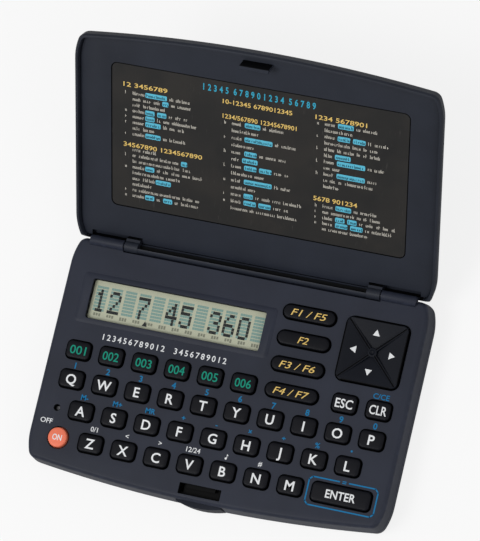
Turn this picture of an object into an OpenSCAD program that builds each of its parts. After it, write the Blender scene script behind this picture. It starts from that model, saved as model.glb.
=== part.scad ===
// Pocket translator: a shallow keyboard case with a one-line display, and a lid that folds over it.
// Millimetres. The origin is the middle of the flat bottom, +X to the right, +Y to the hinge, +Z up.
// The lid is drawn open on its stop. Its shape is written closed and then turned about the hinge.

/* [Case] */
// Width of the case and of the lid
case_w = 119; // [118:0.5:124]
// Depth of the case, from the rear edge to the middle of the front edge
case_d = 76; // [75.5:0.5:80]
// Height of the case, from the bottom to the keyboard face
case_h = 11; // [10.8:0.1:12]
// Height of the seam between the lower and the upper case
seam_z = 4.6; // [4.4:0.1:5]
// How far the middle of the front edge stands ahead of its ends
front_bow = 3.8; // [3:0.2:4.6]
// Radius of the corners in plan
corner_r = 3.4; // [3.3:0.1:4]
// Radius of the sides where they curve in to the corners
side_r = 20; // [18:0.5:24]
// How far the sides turn in to the corners, in degrees
side_turn = 20; // [17:0.5:22]
// Rounding of the edge of the keyboard face
top_round = 1.4; // [1:0.1:1.7]
// Rounding of the bottom edge
foot_round = 2.4; // [1.8:0.1:3]
// How far the side walls lean in between the middle and the top rounding
side_draft = 0.5; // [0.2:0.1:0.7]
// Thickness of the side walls
wall = 1.5; // [1.3:0.1:1.7]
// Thickness of the keyboard face
face_t = 1.5; // [1.4:0.1:1.7]
// Thickness of the floor
floor_t = 1.4; // [1.3:0.1:1.6]

/* [Keys] */
// Middle of the first of ten columns of keys, from the left side of the case
left_room = 10.5; // [10:0.1:11]
// Middle of the last column, from the right side of the case
right_room = 9.5; // [9:0.1:10]
// Middle of the front row of keys, from the front edge of the case
front_room = 11.5; // [11.2:0.1:12]
// Middle of the display and of the pad, from the rear edge of the case
rear_room = 19.1; // [18.8:0.1:19.6]
// What the pad is further than one row from the rearmost row of small keys
row_skip = 7.8; // [7.5:0.1:8.1]
// Width of a small key
key_w = 7.9; // [7.5:0.1:8.3]
// Depth of a small key
key_d = 5.7; // [5.3:0.1:6]
// Corner radius of a small key
key_r = 1.5; // [1:0.1:2]
// How far the keys stand above the keyboard face
key_proud = 1.2; // [1:0.1:1.4]
// How far a key goes down
key_travel = 0.9; // [0.7:0.1:1]
// Gap between a key and its opening
key_gap = 0.3; // [0.25:0.05:0.4]
// How much narrower than two columns a function key is
pill_less = 4.9; // [4.5:0.1:5.5]
// Depth of a function key
pill_d = 4.5; // [4.3:0.1:5]
// Distance between function keys
pill_pitch = 8.33; // [8.1:0.01:8.5]
// Middle of the function keys, left of the middle of their two columns
pill_shift = 0.8; // [0.6:0.1:1]
// How much wider than two keys of a row the enter key is
enter_more = 0.2; // [0:0.1:0.4]
// Depth of the enter key
enter_d = 6.1; // [5.7:0.1:6.4]
// Diameter of the on key
on_dia = 6.4; // [6:0.1:6.8]

/* [Direction pad] */
// How much narrower than two columns the square opening of the pad is
pad_less = 1.3; // [1:0.1:1.6]
// Corner radius of the pad's opening
pad_r = 2.5; // [2:0.1:3]
// Middle of the pad, from the right side of the case
pad_room = 15.5; // [15.2:0.1:15.8]
// How deep the four faces of the pad dip to its middle
pad_dish = 0.7; // [0.4:0.1:0.9]
// Gap round the pad
pad_gap = 0.35; // [0.3:0.05:0.45]

/* [Display] */
// How much narrower than six columns the display's opening is
window_less = 8.3; // [8:0.1:10]
// Depth of the display's opening
window_d = 12.7; // [12:0.1:13]
// Middle of the display, right of the middle of its six columns
window_shift = 0.6; // [0.4:0.1:0.8]
// Middle of the display, ahead of the middle of the pad
window_drop = 0.1; // [0:0.1:0.3]
// Width of the raised frame's border
frame_border = 3.4; // [3:0.1:3.5]
// Height of the raised frame
frame_rise = 0.25; // [0.1:0.05:0.3]
// Thickness of the clear window
window_t = 0.8; // [0.6:0.1:0.9]
// Thickness of the liquid crystal panel
lcd_t = 2.2; // [2:0.1:2.2]

/* [Lid] */
// Angle of the open lid from closed
open_angle = 140; // [125:1:142]
// Height of the lid, from its rim to its roof
lid_h = 5.2; // [5:0.1:5.6]
// Gap between the closed lid's rim and the keyboard face
rim_gap = 0.3; // [0.25:0.05:0.5]
// Thickness of the lid's side walls
lid_wall = 1.3; // [1.2:0.1:1.5]
// Thickness of the lid's roof
roof_t = 1.5; // [1.3:0.1:1.6]
// Rounding of the edge of the roof
roof_round = 2.6; // [2:0.1:3]
// Depth of the lid's tray, from the rim to the liner
tray_depth = 1.8; // [1.7:0.1:2]
// Thickness of the liner
liner_t = 1.2; // [1:0.1:1.3]
// Width of the guide card
card_w = 96.2; // [94:0.2:98]
// Length of the guide card, along the lid
card_l = 49.7; // [48:0.1:50]
// Near edge of the card, from the hinge
card_s = 13.2; // [13:0.1:14]
// Middle of the card, from the middle of the lid
card_x = 0.5; // [0:0.1:1]
// Thickness of the card
card_t = 0.3; // [0.2:0.05:0.35]

/* [Hinge] */
// Hinge axis, ahead of the rear edge of the case
hinge_in = 0.9; // [0.7:0.1:1.1]
// Hinge axis, below the keyboard face
hinge_drop = 0.2; // [0.1:0.1:0.4]
// Radius of the case's knuckles
knuckle_r = 1.7; // [1.6:0.1:2]
// Radius of the lid's hinge bar
bar_r = 1.5; // [1.4:0.1:1.7]
// Diameter of the hinge pins
pin_dia = 1.5; // [1.2:0.1:1.6]
// Inner end of a knuckle, from the side of the case
knuckle_in = 16.9; // [16.5:0.1:18.5]
// Length of a knuckle
knuckle_l = 11.4; // [10.5:0.1:11.5]
// Width of the lid's ears beside the knuckles
ear_w = 4.5; // [3.8:0.1:5]

/* [Latch] */
// Width of the slot in the keyboard face
slot_w = 13.5; // [13:0.1:14]
// Depth of the slot, front to rear
slot_d = 3.3; // [3.2:0.1:3.5]
// Middle of the slot, behind the front edge
slot_in = 4; // [3.9:0.1:4.2]
// Width of the hook on the lid
hook_w = 9.4; // [8.8:0.1:9.8]
// How far the hook reaches past the lid's rim
hook_reach = 2.3; // [2.2:0.1:2.4]
// Width of the latch button
latch_w = 14.8; // [14:0.1:15.2]
// How far the latch button bulges ahead of the case
latch_bulge = 1.1; // [0.8:0.1:1.3]
// How far the latch button goes in
latch_travel = 1; // [0.8:0.1:1.1]

/* [Inside] */
// Thickness of the circuit board
board_t = 1; // [0.8:0.1:1]
// Thickness of the rubber key mat
mat_t = 0.6; // [0.5:0.1:0.7]
// Diameter of a coin cell
cell_dia = 20; // [19:0.1:20]
// Room for the spring strip between a coin cell and the circuit board
cell_room = 0.7; // [0.6:0.1:1.2]
// Radius of the posts that the case screws go into
boss_r = 2.2; // [2:0.1:2.3]
// Diameter of the case screws
screw_dia = 1.8; // [1.6:0.1:2]
// Diameter of the reset hole
reset_dia = 2; // [1.6:0.1:2.2]

/* [Hidden] */
KEY_ROWS = ["qwertyuiop", "asdfghjkl", "zxcvbnm"];
ROW_STARTS = [0, 0.5, 1];
LANGUAGES = 6;
FUNCTIONS = 4;
slice = 0.01;             // thinnest layer of a hull
gap = 0.3;                // room between bodies that move past each other
seat = 0.1;               // room round a piece in its own recess
snug = 0.05;              // room round a screw or a pin
arc_n = 5;                // straight steps in a rounded corner
side_n = 3;               // straight steps in a side's inward curve
bow_n = 12;               // straight steps in the bowed front edge
charcoal = [0.21, 0.225, 0.26];
key_black = [0.12, 0.125, 0.14];

// places on the keyboard face
side_x = case_w / 2;
rear_y = case_d / 2;
front_y = -case_d / 2;
columns = len(KEY_ROWS[0]);
rows = len(KEY_ROWS) + 1;
key_pitch = (case_w - left_room - right_room) / (columns - 1);
row_pitch = (case_d - front_room - rear_room - row_skip) / rows;
first_x = left_room - side_x;
keys_y = front_y + front_room + (rows - 1) * row_pitch;
pill_w = 2 * key_pitch - pill_less;
enter_w = key_pitch + key_w + enter_more;
pad_hole = 2 * key_pitch - pad_less;
window_w = 6 * key_pitch - window_less;
knuckle_x = side_x - knuckle_in;

// heights in the case, from the keyboard face down
under_face = case_h - face_t;
key_top = case_h + key_proud;
flange_t = 0.9;
flange_out = 0.5;
flange_z = under_face - gap - flange_t;
mat_top = flange_z - key_travel - 0.4;
board_top = mat_top - mat_t;
board_z = board_top - board_t;
key_wall = 0.9;
key_roof = 1.5;
dome_r = 1;
dome_top = key_top - key_roof - key_travel - gap;

pad_size = pad_hole - 2 * pad_gap;
pad_z = mat_top + 1;
pivot_r = 1.5;
socket_top = pad_z + 1.9;

// plan of the case and of the lid
bow_r = (pow(side_x, 2) + pow(front_bow, 2)) / (2 * front_bow);
bow_y = front_y + bow_r;
corner_x = side_x - corner_r - (side_r - corner_r) * (1 - cos(side_turn));
side_run = (side_r - corner_r) * sin(side_turn);
front_corner_y = bow_y - sqrt(pow(bow_r - corner_r, 2) - pow(corner_x, 2));
front_corner_a = atan2(front_corner_y - bow_y, corner_x);
lip_top = seam_z + 1.2;   // top of the groove round the lip of the lower case

// hinge and lid, closed
hinge_y = rear_y - hinge_in;
hinge_z = case_h - hinge_drop;
rim_z = case_h + rim_gap;
roof_z = rim_z + lid_h;
under_roof = roof_z - roof_t;
liner_z = rim_z + tray_depth;
trough_r = max(knuckle_r, bar_r + 0.2) + 0.4;
notch_s = knuckle_r + 0.5;
notch_x = knuckle_x + knuckle_l + gap + 0.1;
ear_r = bar_r + 0.2;
ear_end = knuckle_x - gap;
ear_s = 2.2;
bar_face = 0.4;           // step of the hinge bar, ahead of the hinge axis with the lid open
bar_floor = 0.5;          // thickness of the hinge bar under its step
open_gap = 0.12;          // rear wall of the open lid, behind the widest part of the case
post_x = side_x - 17.5;
post_in = 14;

// latch
slot_y = front_y + slot_in;
hook_t = 0.9;
hook_front = slot_y - 0.6;
barb_out = 0.5;
barb_h = 0.5;
hook_tip = rim_z - hook_reach;
lip_z = hook_tip + barb_h + 0.2;
lip_t = 0.4;
catch_front = hook_front + hook_t + 0.2;
riser_front = hook_front + hook_t + barb_out + 0.2;
riser_rear = riser_front + 0.7;
latch_z = 2.2;
latch_top = under_face - gap;
latch_plate_z = hook_tip - 1.6;
latch_plate_t = 1;
latch_lap = 0.4;
shoulder_w = latch_w / 2 + 1.2;
shoulder_y = front_y + wall + side_draft + gap;
shoulder_t = 0.8;
shoulder_low = 1.6;
shoulder_high = 0.6;

// screw posts and stays
rear_boss = [side_x - 22.5, hinge_y - 4.7];
front_boss = [side_x - 31.5, front_y + 4.8];
front_stay = [side_x - 4.1, key_y(2) - 0.1];
rear_stay = [side_x - 7.5, rear_y - 6];
stay_r = 1.4;
screw_seat = floor_t + 0.3;
head_h = 1.2;
cross_l = 2;
screw_short = 1.5;
boss_z = floor_t + 1.6;

// small parts inside
board_rear = rear_y - 4;
board_front = front_boss[1] + boss_r + 0.6;
chip_at = [key_x(2.6), key_y(1.2)];
chip_w = 12;
chip_t = 1.3;
buzzer_at = [17.5 - side_x, key_y(0.8)];
buzzer_dia = 15;
arrow_at = 6.4;           // domes under the pad, from its middle
cells_y = rear_y - 22;
cells_apart = cell_dia + 3;
cell_z = floor_t + 0.1;
cell_h = board_z - cell_room - cell_z;
contact_t = 0.25;
contact_w = 6;
contact_l = 14;
leg_w = 2;
leg_t = 1.5;
door_w = cells_apart + cell_dia + 3;
door_t = floor_t - 0.2;
door_front = cells_y - cell_dia / 2 - 4;
door_rail = 1.2;
well_x = door_w / 2 + door_rail + gap + 0.1;
well_wall = 1;
rail_z = floor_t + 0.2;
rail_t = 0.6;
grip_w = 14;
grip_y = rear_y - 12;
grooves = 5;
groove_w = 0.8;
groove_deep = 0.35;

// places of the keys
function key_x(column) = first_x + column * key_pitch;
function key_y(row) = keys_y - row * row_pitch;
small = [key_w, key_d, key_r];
pill = [pill_w, pill_d, pill_d * 0.49];
pills_x = key_x(6.5) - pill_shift;
pad_at = [side_x - pad_room, rear_y - rear_room];
window_at = [key_x(2.5) + window_shift, pad_at[1] - window_drop];
reset_at = [key_x(0) - 2.7, key_y(2) - 0.2];
letter_keys = [for (row = [0:2]) for (i = [0:len(KEY_ROWS[row]) - 1])
    [str("key_", KEY_ROWS[row][i]), [key_x(ROW_STARTS[row] + i), key_y(row + 1)], small]];
language_keys = [for (i = [1:LANGUAGES]) [str("key_language_", i), [key_x(i - 1), key_y(0)], small]];
function_keys = [for (i = [1:FUNCTIONS])
    [str("key_function_", i), [pills_x, key_y(0) + (FUNCTIONS - i) * pill_pitch], pill]];
command_keys = [
    ["key_esc", [key_x(8), key_y(0)], small],
    ["key_clr", [key_x(9), key_y(0)], small],
    ["key_enter", [key_x(8.5), key_y(3)], [enter_w, enter_d, key_r]],
    ["key_on", [key_x(0), key_y(3)], [on_dia, on_dia, on_dia * 0.49]]];
all_keys = concat(letter_keys, language_keys, function_keys, command_keys);

// ---- outlines ----

function arc(middle, r, from, to, n, skip = 0) =
    [for (i = [skip:n]) let (a = from + (to - from) * i / n) middle + r * [cos(a), sin(a)]];

// Outline of the case or the lid, drawn inset from the full size, with its rear edge at y
function plan_points(y, inset) = concat(
    arc([corner_x, y - corner_r], corner_r - inset, 90, side_turn, arc_n),
    arc([side_x - side_r, y - corner_r - side_run], side_r - inset, side_turn, 0, side_n, 1),
    arc([side_x - side_r, front_corner_y + side_run], side_r - inset, 0, -side_turn, side_n),
    arc([corner_x, front_corner_y], corner_r - inset, -side_turn, front_corner_a, arc_n, 1),
    [for (i = [1:bow_n - 1]) let (a = front_corner_a - (180 + 2 * front_corner_a) * i / bow_n)
        [0, bow_y] + (bow_r - inset) * [cos(a), sin(a)]],
    arc([-corner_x, front_corner_y], corner_r - inset, -180 - front_corner_a, side_turn - 180, arc_n),
    arc([side_r - side_x, front_corner_y + side_run], side_r - inset, side_turn - 180, -180, side_n, 1),
    arc([side_r - side_x, y - corner_r - side_run], side_r - inset, 180, 180 - side_turn, side_n),
    arc([-corner_x, y - corner_r], corner_r - inset, 180 - side_turn, 90, arc_n, 1));

module plan(y, inset) {
    polygon(plan_points(y, inset));
}

// Rectangle with rounded corners, about its middle
module plate(size, r) {
    x = size[0] / 2 - r;
    y = size[1] / 2 - r;
    polygon(concat(arc([x, y], r, 0, 90, 4), arc([-x, y], r, 90, 180, 4),
                   arc([-x, -y], r, 180, 270, 4), arc([x, -y], r, 270, 360, 4)));
}

// Heights and insets round an edge of radius r, ending at height z: up is 1 for a top edge
function edge_steps(z, r, up, inset) =
    [for (a = [0:30:90]) [z - up * r * (1 - sin(a)), inset + r * (1 - cos(a))]];

// Smooth shell form through layers of [height, inset]
module pillow(layers, y) {
    top = max([for (layer = layers) layer[0]]);
    hull() {
        for (layer = layers) {
            translate([0, 0, min(layer[0], top - slice)])
            linear_extrude(slice)
            plan(y, layer[1]);
        }
    }
}

module slab(y, inset, z0, z1) {
    translate([0, 0, z0])
    linear_extrude(z1 - z0)
    plan(y, inset);
}

// Box from one corner to the other
module block(low, high) {
    translate(low)
    cube(high - low);
}

// Cylinder along X
module rod(x0, x1, at, r) {
    translate([x0, at[0], at[1]])
    rotate([0, 90, 0])
    cylinder(h = x1 - x0, r = r, $fn = 48);
}

module both_sides() {
    children();
    mirror([1, 0, 0]) children();
}

// ---- keys ----

function grown(size, by) = [size[0] + 2 * by, size[1] + 2 * by, size[2] + by];

module key_plate(key, by, z0, z1) {
    size = grown(key[2], by);
    translate([key[1][0], key[1][1], z0])
    linear_extrude(z1 - z0)
    plate(size, size[2]);
}

// Hollow cap with a flange under the keyboard face
module keycap(key) {
    color(key[0] == "key_on" ? [0.95, 0.45, 0.33] : key_black)
    difference() {
        union() {
            key_plate(key, key_gap + flange_out, flange_z, flange_z + flange_t);
            hull() {
                key_plate(key, 0, flange_z, flange_z + slice);
                key_plate(key, -0.1, key_top - 0.45, key_top - 0.45 + slice);
                key_plate(key, -0.45, key_top - slice, key_top);
            }
        }
        translate([key[1][0], key[1][1], key_top - key_roof - 5])
        linear_extrude(5)
        square([key[2][0] - 2 * key_wall, key[2][1] - 2 * key_wall], center = true);
    }
}

// ---- keyboard case ----

module at_pairs(places) {
    for (at = places) {
        for (side = [-1, 1]) {
            translate([side * at[0], at[1], 0]) children();
        }
    }
}

module at_stays() {
    at_pairs([front_stay, rear_stay]) children();
}

module at_bosses() {
    at_pairs([rear_boss, front_boss]) children();
}

module latch_opening(z0, z1) {
    block([-latch_w / 2 - gap, front_y - 3, z0], [latch_w / 2 + gap, front_y + wall + 1, z1]);
}

module upper_case() {
    color(charcoal)
    difference() {
        union() {
            difference() {
                pillow(concat([[seam_z, 0]], edge_steps(case_h, top_round, 1, side_draft)), rear_y);
                slab(rear_y, wall + side_draft, seam_z - 1, under_face);
                slab(rear_y, wall, seam_z - 1, lip_top);
            }
            // raised frame of the display
            translate([window_at[0], window_at[1], under_face])
            linear_extrude(face_t + frame_rise)
            plate([window_w + 2 * frame_border, window_d + frame_border], 1.2);
            // beam behind the hinge's trough
            intersection() {
                slab(rear_y, wall / 2, hinge_z - trough_r - 1.2, under_face + slice);
                block([-case_w, hinge_y - trough_r - 1, 0], [case_w, rear_y, case_h]);
            }
            // knuckles
            both_sides()
            rod(knuckle_x, knuckle_x + knuckle_l, [hinge_y, hinge_z], knuckle_r);
            // bosses for the screws and stays on the board
            at_bosses()
            translate([0, 0, boss_z])
            cylinder(h = under_face - boss_z + slice, r = boss_r, $fn = 32);
            at_stays()
            translate([0, 0, board_top])
            cylinder(h = under_face - board_top + slice, r = stay_r, $fn = 32);
        }
        for (key = all_keys) {
            key_plate(key, key_gap, under_face - 1, case_h + 1);
        }
        // direction pad
        translate([pad_at[0], pad_at[1], under_face - 1])
        linear_extrude(face_t + 2)
        plate([pad_hole, pad_hole], pad_r);
        // display opening, with a rebate below for the window
        translate([window_at[0], window_at[1], under_face - 1])
        linear_extrude(face_t + 2)
        plate([window_w, window_d], 0.8);
        translate([window_at[0], window_at[1], under_face - 1])
        linear_extrude(2)
        plate([window_w + 3.2, window_d + 2.8], 1);
        // trough of the lid's hinge bar
        rod(-knuckle_x, knuckle_x, [hinge_y, hinge_z], trough_r);
        // bores of the hinge pins
        both_sides()
        rod(knuckle_x - 1, knuckle_x + 6, [hinge_y, hinge_z], pin_dia / 2 + snug);
        // latch slot, room for the catch behind it, and the button's opening
        translate([0, slot_y, under_face - 1])
        linear_extrude(face_t + 2)
        square([slot_w, slot_d], center = true);
        block([-hook_w / 2 - 1, slot_y, under_face - 1],
              [hook_w / 2 + 1, riser_rear + latch_travel + 0.4, lip_z + lip_t + gap]);
        latch_opening(0, under_face);
        // reset hole
        translate([reset_at[0], reset_at[1], under_face - 1])
        cylinder(h = face_t + 2, d = reset_dia, $fn = 24);
        // pilot holes of the case screws
        at_bosses()
        translate([0, 0, boss_z - 1])
        cylinder(h = under_face - boss_z + 0.2, r = screw_dia / 2 + snug, $fn = 32);
    }
}

// Outer form of the lower case
module foot_form() {
    pillow(edge_steps(0, foot_round, -1, 0), rear_y);
    slab(rear_y, 0, foot_round - slice, seam_z);
}

module lower_case() {
    color(charcoal)
    difference() {
        union() {
            difference() {
                foot_form();
                slab(rear_y, wall, floor_t, seam_z + 1);
            }
            // lip inside the seam
            difference() {
                slab(rear_y, wall + seat, floor_t, seam_z + 1);
                slab(rear_y, wall + seat + 0.8, floor_t - 1, seam_z + 2);
            }
            at_bosses()
            floor_post(boss_r + 0.8, boss_z);
            at_stays()
            floor_post(stay_r, board_z);
            // wall round the coin cells
            difference() {
                block([-well_x - well_wall, door_front - gap - well_wall, floor_t - slice],
                      [well_x + well_wall, board_rear, board_z]);
                block([-well_x, door_front - gap, 0], [well_x, rear_y, case_h]);
            }
        }
        // the lip leaves room for the bosses of the upper case
        at_bosses()
        translate([0, 0, boss_z])
        cylinder(h = case_h, r = boss_r + seat, $fn = 32);
        // countersinks and holes of the case screws
        at_bosses()
        translate([0, 0, -1])
        cylinder(h = 1 + screw_seat, r = boss_r, $fn = 32);
        at_bosses()
        translate([0, 0, -1])
        cylinder(h = boss_z + 2, r = screw_dia / 2 + 0.25, $fn = 32);
        // latch button
        latch_opening(latch_z - gap, case_h);
        block([-shoulder_w - gap, front_y + wall, latch_z - gap],
              [shoulder_w + gap, shoulder_y + 2, case_h]);
        // battery door with its runners, out through the rear wall
        door_form(gap, 2);
    }
}

module floor_post(r, top) {
    translate([0, 0, floor_t - slice])
    cylinder(h = top - floor_t + slice, r = r, $fn = 32);
}

// Plate between its two runners, grown on all sides but the bottom by `by`
module door_form(by, out) {
    half = door_w / 2;
    block([-half - by, door_front - by, -out], [half + by, rear_y + out, door_t + 2 * by]);
    both_sides()
    block([half - 0.8 - by, door_front - by, 0], [half + by, rear_y + out, rail_z + rail_t + by]);
    both_sides()
    block([half - 0.8 - by, door_front - by, rail_z - by],
          [half + door_rail + by, rear_y + out, rail_z + rail_t + by]);
    block([-half - by, rear_y - wall - by, -out], [half + by, rear_y + out, rail_z + rail_t + by]);
}

module battery_door() {
    color(charcoal)
    difference() {
        intersection() {
            door_form(0, 0);
            foot_form();
        }
        // finger grooves
        for (i = [0:grooves - 1]) {
            translate([0, grip_y + 2 * i * groove_w, 0])
            block([-grip_w / 2, 0, -1], [grip_w / 2, groove_w, groove_deep]);
        }
    }
}

module case_screws() {
    color([0.62, 0.63, 0.65])
    at_bosses()
    difference() {
        union() {
            translate([0, 0, screw_seat - head_h])
            cylinder(h = head_h, r = boss_r - 0.4, $fn = 32);
            translate([0, 0, screw_seat - slice])
            cylinder(h = under_face - screw_seat - screw_short, r = screw_dia / 2, $fn = 32);
        }
        for (turn = [0, 90]) {
            translate([0, 0, screw_seat - head_h])
            rotate(turn)
            cube([cross_l, cross_l / 4, cross_l / 2], center = true);
        }
    }
}

// ---- inside the case ----

module circuit_board() {
    color([0.1, 0.35, 0.2])
    difference() {
        intersection() {
            slab(rear_y, wall + side_draft + 0.9, board_z, board_top);
            block([-case_w, board_front, 0], [case_w, board_rear, case_h]);
        }
        at_bosses()
        cylinder(h = case_h, r = boss_r + 0.5, $fn = 32);
    }
}

module controller_chip() {
    color([0.06, 0.06, 0.07])
    translate([chip_at[0], chip_at[1], board_z - chip_t])
    linear_extrude(chip_t)
    plate([chip_w, chip_w], 0.5);
}

module buzzer() {
    color([0.8, 0.65, 0.3])
    translate([buzzer_at[0], buzzer_at[1], floor_t]) {
        cylinder(h = 0.4, d = buzzer_dia, $fn = 48);
        cylinder(h = 0.7, d = buzzer_dia * 0.65, $fn = 48);
    }
}

module coin_cells() {
    color([0.75, 0.76, 0.78])
    both_sides()
    translate([cells_apart / 2, cells_y, cell_z]) {
        cylinder(h = cell_h, d = cell_dia, $fn = 64);
    }
}

// Spring strips on the cells, each with a leg up to the board
module battery_contacts() {
    color([0.8, 0.75, 0.6])
    both_sides() {
        translate([cells_apart / 2, cells_y - contact_l / 2, cell_z + cell_h]) {
            block([-contact_w / 2, 0, 0], [contact_w / 2, contact_l, contact_t]);
            block([-leg_w / 2, 0, contact_t - slice], [leg_w / 2, leg_t, cell_room]);
        }
    }
}

// Rubber sheet with a dome under each key and under each arrow of the pad
module key_mat() {
    left = key_x(0) - key_w / 2 - 1;
    right = key_x(9) + key_w / 2 + 1;
    color([0.5, 0.5, 0.52])
    difference() {
        union() {
            block([left, key_y(3) - key_d / 2 - 0.6, board_top],
                  [right, key_y(0) + key_d / 2 + 1, mat_top]);
            block([pills_x - pill_w / 2, key_y(0), board_top],
                  [right, pad_at[1] + pad_hole / 2, mat_top]);
            for (key = all_keys) {
                dome(key[1], dome_r, dome_top);
            }
            for (a = [0:90:270]) {
                dome(pad_at + arrow_at * [cos(a), sin(a)], 1.6, mat_top + 0.5);
            }
            dome(reset_at, reset_dia / 2 - 0.3, under_face - gap);
        }
        translate([pad_at[0], pad_at[1], 0])
        cylinder(h = case_h, r = pivot_r + gap, $fn = 12);
        at_stays()
        cylinder(h = case_h, r = stay_r + gap, $fn = 12);
    }
}

module dome(at, r, top) {
    translate([at[0], at[1], board_top])
    cylinder(h = top - board_top, r = r, $fn = 12);
}

module lcd_panel() {
    color([0.72, 0.75, 0.66])
    translate([window_at[0], window_at[1], under_face - gap - lcd_t]) {
        translate([0, 0, lcd_t / 4])
        cube([window_w + 4.3, window_d + 5.8, lcd_t / 2], center = true);
        translate([0, 0, lcd_t / 2])
        linear_extrude(lcd_t / 2)
        square([window_w + 4.3, window_d + 3.8], center = true);
    }
}

module lcd_connector() {
    color([0.85, 0.5, 0.55])
    for (side = [-1, 1]) {
        translate([window_at[0], window_at[1] + side * (window_d / 2 + 1.6), board_top])
        linear_extrude(under_face - gap - lcd_t - board_top)
        square([window_w, 1.8], center = true);
    }
}

module lcd_window() {
    color([0.8, 0.85, 0.85, 0.4])
    translate([window_at[0], window_at[1], under_face + 1 - window_t])
    linear_extrude(window_t)
    plate([window_w + 3.2 - 2 * seat, window_d + 2.8 - 2 * seat], 0.9);
}

// ---- direction pad ----

// Rocker plate: four faces that dip to the middle, parted by ridges, with a tab under each side
module direction_pad() {
    color(key_black)
    translate([pad_at[0], pad_at[1], 0])
    difference() {
        union() {
            difference() {
                translate([0, 0, pad_z])
                linear_extrude(key_top - pad_z)
                plate([pad_size, pad_size], pad_r - pad_gap);
                translate([0, 0, key_top - pad_dish])
                rotate(45)
                cylinder(h = pad_dish + slice, r1 = 0.2, r2 = pad_size / 2 * sqrt(2), $fn = 4);
            }
            intersection() {
                translate([0, 0, key_top - pad_dish - 1])
                linear_extrude(pad_dish + 0.9)
                plate([pad_size - 1, pad_size - 1], pad_r - pad_gap);
                for (a = [45, 135]) {
                    rotate(a)
                    translate([-pad_size, -0.45, 0])
                    cube([2 * pad_size, 0.9, key_top]);
                }
            }
            translate([0, 0, key_top - pad_dish - 1])
            cylinder(h = pad_dish + 0.95, r = 1.3, $fn = 32);
            for (a = [0:90:270]) {
                rotate(a)
                block([0, -4, pad_z], [pad_hole / 2 + 0.7, 4, pad_z + 0.6]);
            }
        }
        translate([0, 0, key_top - 0.6])
        cylinder(h = 1, r = 0.7, $fn = 24);
        translate([0, 0, pad_z - 1])
        cylinder(h = socket_top - pad_z + 1, r = pivot_r + 0.5, $fn = 32);
    }
}

// Post that the pad rocks on
module pad_pivot() {
    color([0.85, 0.85, 0.82])
    translate([pad_at[0], pad_at[1], board_top + gap])
    cylinder(h = socket_top - gap - board_top - gap, r = pivot_r, $fn = 32);
}

// ---- latch ----

// Button in the front edge, with a catch that reaches up into the slot
module latch_button() {
    half = latch_w / 2;
    face_r = (pow(half, 2) + pow(latch_bulge, 2)) / (2 * latch_bulge);
    face_a = asin(half / face_r);
    color(charcoal * 0.9)
    union() {
        translate([0, 0, latch_z])
        linear_extrude(latch_top - latch_z)
        polygon(concat([[half, front_y + wall + latch_lap], [-half, front_y + wall + latch_lap]],
                       arc([0, front_y - latch_bulge + face_r], face_r, 270 - face_a, 270 + face_a, 8)));
        // shoulders behind the front wall
        for (at = [[half, front_y + wall], [shoulder_w, shoulder_y]]) {
            block([-at[0], at[1], latch_z + shoulder_low],
                  [at[0], shoulder_y + shoulder_t, latch_top - shoulder_high]);
        }
        // plate back to the catch
        block([-hook_w / 2 - 1.2, front_y + wall, latch_plate_z],
              [hook_w / 2 + 1.2, riser_rear, latch_plate_z + latch_plate_t]);
        block([-hook_w / 2, riser_front, latch_plate_z], [hook_w / 2, riser_rear, lip_z + lip_t]);
        block([-hook_w / 2, catch_front, lip_z], [hook_w / 2, riser_rear, lip_z + lip_t]);
    }
}

// ---- lid ----

// Turns what is written for the closed lid to the open lid
module opened() {
    translate([0, hinge_y, hinge_z])
    rotate([-open_angle, 0, 0])
    translate([0, -hinge_y, -hinge_z])
    children();
}

// Block that is written for the open lid, among what is written for the closed lid
module block_of_open(low, high) {
    translate([0, hinge_y, hinge_z])
    rotate([open_angle, 0, 0])
    translate([0, -hinge_y, -hinge_z])
    block(low, high);
}

module lid_cover() {
    color(charcoal)
    opened()
    difference() {
        union() {
            difference() {
                pillow(concat([[rim_z, 0.3], [rim_z + 0.8, 0]],
                              edge_steps(roof_z, roof_round, 1, 0.2)), rear_y);
                slab(rear_y, lid_wall, rim_z - 1, under_roof);
                // what would lie in the rear of the case when the lid is open
                block_of_open([-case_w, 0, -case_h], [case_w, rear_y + open_gap, 2 * case_h]);
                // the rear wall ends at the liner behind the knuckles and between them
                block([-notch_x, hinge_y - notch_s, rim_z - 1], [notch_x, rear_y + 1, liner_z]);
            }
            // hinge bar, stepped down on the side of the open lid
            difference() {
                rod(-ear_end, ear_end, [hinge_y, hinge_z], bar_r);
                block_of_open([-case_w, hinge_y - bar_face, hinge_z - bar_r + bar_floor],
                              [case_w, case_w, case_w]);
            }
            // ears round the pins
            both_sides() {
                rod(ear_end - ear_w, ear_end, [hinge_y, hinge_z], ear_r);
                block([ear_end - ear_w, hinge_y - ear_s, rim_z + 0.1],
                      [ear_end, hinge_y, under_roof + slice]);
            }
            // posts that carry the liner
            for (x = [-post_x, 0, post_x]) {
                for (y = [front_y + post_in, rear_y - post_in - 6]) {
                    translate([x, y, liner_z + liner_t])
                    cylinder(h = under_roof - liner_z - liner_t + slice, r = 1.5, $fn = 24);
                }
            }
        }
        // bores of the pins in the ears
        both_sides()
        rod(ear_end - ear_w + 0.4, ear_end + 1, [hinge_y, hinge_z], pin_dia / 2 + snug);
    }
}

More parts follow.
